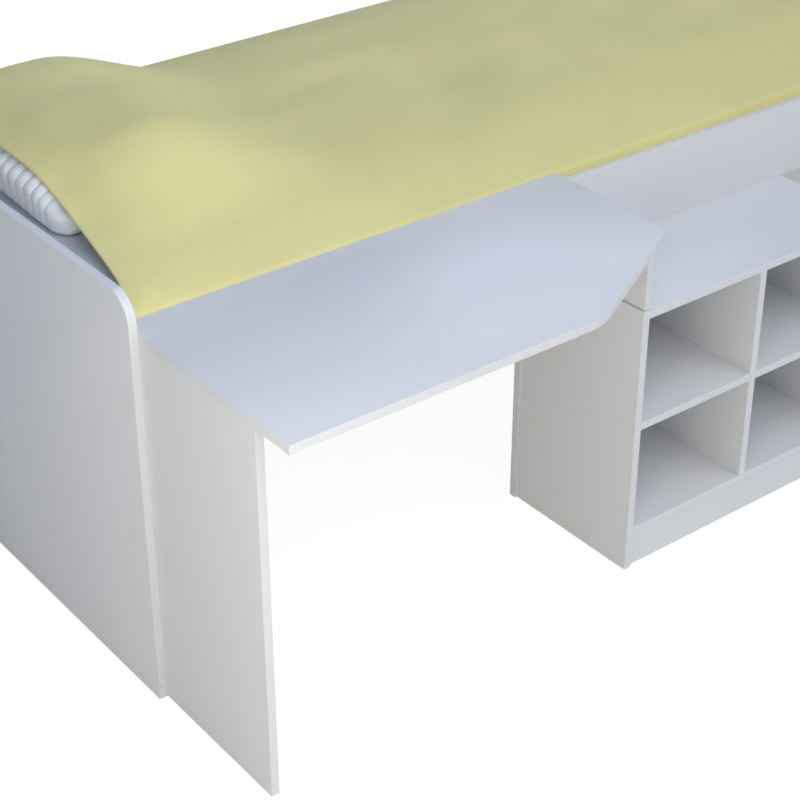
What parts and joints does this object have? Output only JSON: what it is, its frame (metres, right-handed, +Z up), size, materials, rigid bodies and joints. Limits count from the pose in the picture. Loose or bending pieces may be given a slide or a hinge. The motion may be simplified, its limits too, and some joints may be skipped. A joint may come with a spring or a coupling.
{
  "type": "cabin bed",
  "caption": "Raised single bed of white boards with a fixed desk on a leg panel, an open bookcase under the front rail, a slatted base, and a mattress, pillow and duvet.",
  "frame": {"origin": "on the floor, at the middle of the bed's length and of its whole depth, desk included", "axes": "+X along the bed from the head to the foot, +Y from the desk's front edge to the rear rail, +Z up"},
  "size_m": [2.036, 1.378, 0.8916],
  "materials": {
    "white_board": "satin white melamine facing on chipboard with edge banding",
    "slat_timber": "planed and unvarnished pine",
    "dowel_timber": "plain beech",
    "webbing": "woven webbing",
    "zinc": "die-cast zinc",
    "plated_steel": "zinc-plated steel",
    "white_plastic": "matt white plastic",
    "mattress_cover": "grey quilted ticking",
    "pillow_cover": "white quilted cotton",
    "duvet_cover": "pale green-yellow cotton"
  },
  "bodies": {
    "root": {"left_end_panel": "white_board", "right_end_panel": "white_board", "front_rail": "white_board", "rear_rail": "white_board", "front_slat_ledge": "slat_timber", "rear_slat_ledge": "slat_timber", "slat_01": "slat_timber", "slat_02": "slat_timber", "slat_03": "slat_timber", "slat_04": "slat_timber", "slat_05": "slat_timber", "slat_06": "slat_timber", "slat_07": "slat_timber", "slat_08": "slat_timber", "slat_09": "slat_timber", "slat_10": "slat_timber", "slat_11": "slat_timber", "slat_12": "slat_timber", "slat_13": "slat_timber", "slat_14": "slat_timber", "slat_straps": "webbing", "desk_top": "white_board", "desk_leg_panel": "white_board", "desk_riser": "white_board", "bookcase_left_side": "white_board", "bookcase_right_side": "white_board", "bookcase_divider": "white_board", "bookcase_top": "white_board", "bookcase_bottom": "white_board", "bookcase_plinth": "white_board", "bookcase_left_shelf": "white_board", "bookcase_right_shelf": "white_board", "bookcase_rear_panel": "white_board", "cam_locks": "zinc", "cam_bolts": "plated_steel", "cover_caps": "white_plastic", "wooden_dowels": "dowel_timber", "panel_screws": "plated_steel", "ledge_screws": "plated_steel", "slat_screws": "plated_steel", "buffer_discs": "white_plastic", "floor_glides": "white_plastic", "mattress": "mattress_cover", "pillow": "pillow_cover", "duvet": "duvet_cover"}
  },
  "joints": []
}
